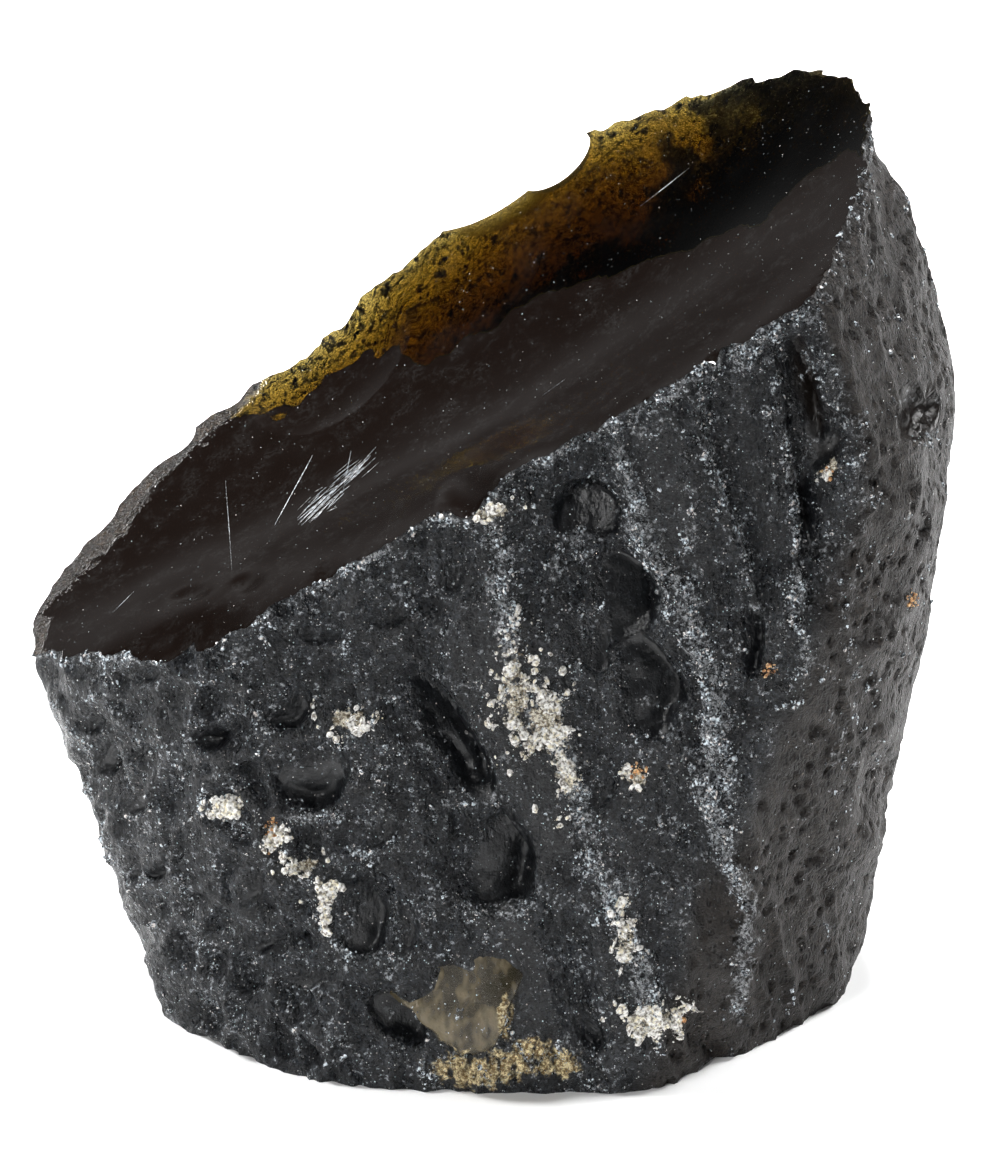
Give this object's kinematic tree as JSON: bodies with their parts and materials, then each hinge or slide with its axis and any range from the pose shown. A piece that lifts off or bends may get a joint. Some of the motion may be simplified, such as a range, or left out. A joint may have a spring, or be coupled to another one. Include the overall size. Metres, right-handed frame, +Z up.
{
  "type": "tektite",
  "caption": "Broken lump of dark natural glass with a pitted, grooved skin, a smooth hollow fracture on top and a flat underside to rest on.",
  "frame": {"origin": "middle of the bounding box, on the flat underside", "axes": "+Z up from the flat underside, +X to the higher end of the sloping fracture, +Y from the grooved front face to the back"},
  "size_m": [0.0424, 0.0293, 0.0413],
  "materials": {
    "glass": "dark brown natural glass, glossy on the fracture and amber where thin; the old skin is semi-matt, pitted and dusted with pale soil"
  },
  "bodies": {
    "root": {"tektite": "glass"}
  },
  "joints": []
}
